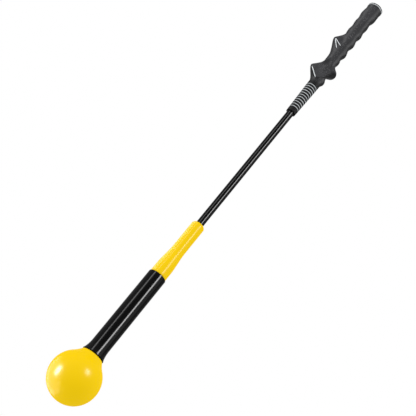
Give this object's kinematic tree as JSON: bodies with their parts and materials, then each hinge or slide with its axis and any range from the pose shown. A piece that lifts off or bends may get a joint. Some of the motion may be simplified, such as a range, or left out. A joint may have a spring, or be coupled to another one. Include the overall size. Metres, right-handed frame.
{
  "type": "golf swing trainer stick",
  "caption": "Swing trainer stick: weighted ball head in a flared sleeve, flexible rod and moulded training grip with thumb wings.",
  "frame": {"origin": "the lowest point of the ball, on the rod's axis", "axes": "+Z along the rod from the ball to the butt of the grip; -X is the side of the two thumb wings, +X the side of the trigger; -Y is the side that the thumb pad and the white lines face"},
  "size_m": [0.074, 0.074, 0.842],
  "materials": {
    "yellow_ball": "glossy moulded skin",
    "yellow_plastic": "glossy moulded plastic",
    "black_sleeve": "glossy",
    "black_rod": "glossy lacquer on glass-fibre rod",
    "grip_rubber": "satin moulded rubber",
    "white_paint": "paint fill",
    "foam_rubber": "dense foam rubber",
    "soft_washer": "soft rubber",
    "plain_steel": "turned",
    "nylon": "machined",
    "tape": "double-sided tape"
  },
  "bodies": {
    "handle": {"rod_butt": "black_rod", "grip_tape": "tape", "grip_sleeve": "grip_rubber", "grip_rings": "white_paint", "wing_lines": "white_paint", "butt_ring": "white_paint", "butt_cap": "grip_rubber"},
    "rod_upper_part": {"rod_upper": "black_rod"},
    "rod_middle_part": {"rod_middle": "black_rod"},
    "rod_lower_part": {"rod_lower": "black_rod"},
    "head": {"ball_shell": "yellow_ball", "ball_core": "foam_rubber", "anchor_washer": "plain_steel", "anchor_screw": "plain_steel", "neck_plug": "nylon", "weight_sleeve": "black_sleeve", "steel_weight": "plain_steel", "roll_pins": "plain_steel", "damper_washers": "soft_washer", "taper_sleeve": "yellow_plastic", "taper_bush": "nylon", "rod_tip": "black_rod"}
  },
  "joints": [
    {"name": "bend_side_upper", "type": "hinge", "parent": "handle", "child": "rod_upper_part", "pos_m": [0, 0, 0.53995], "axis": [0, 1, 0], "range_deg": [-8, 8], "stiffness_Nm_per_rad": 240},
    {"name": "bend_front_upper", "type": "hinge", "parent": "rod_upper_part", "child": "rod_middle_part", "pos_m": [0, 0, 0.47785], "axis": [1, 0, 0], "range_deg": [-8, 8], "stiffness_Nm_per_rad": 240},
    {"name": "bend_side_lower", "type": "hinge", "parent": "rod_middle_part", "child": "rod_lower_part", "pos_m": [0, 0, 0.41575], "axis": [0, 1, 0], "range_deg": [-8, 8], "stiffness_Nm_per_rad": 240},
    {"name": "bend_front_lower", "type": "hinge", "parent": "rod_lower_part", "child": "head", "pos_m": [0, 0, 0.35365], "axis": [1, 0, 0], "range_deg": [-8, 8], "stiffness_Nm_per_rad": 240}
  ],
  "couplings": [
    {"joint": "bend_side_lower", "follows": "bend_side_upper", "ratio": 0.8},
    {"joint": "bend_front_lower", "follows": "bend_front_upper", "ratio": 0.8}
  ]
}
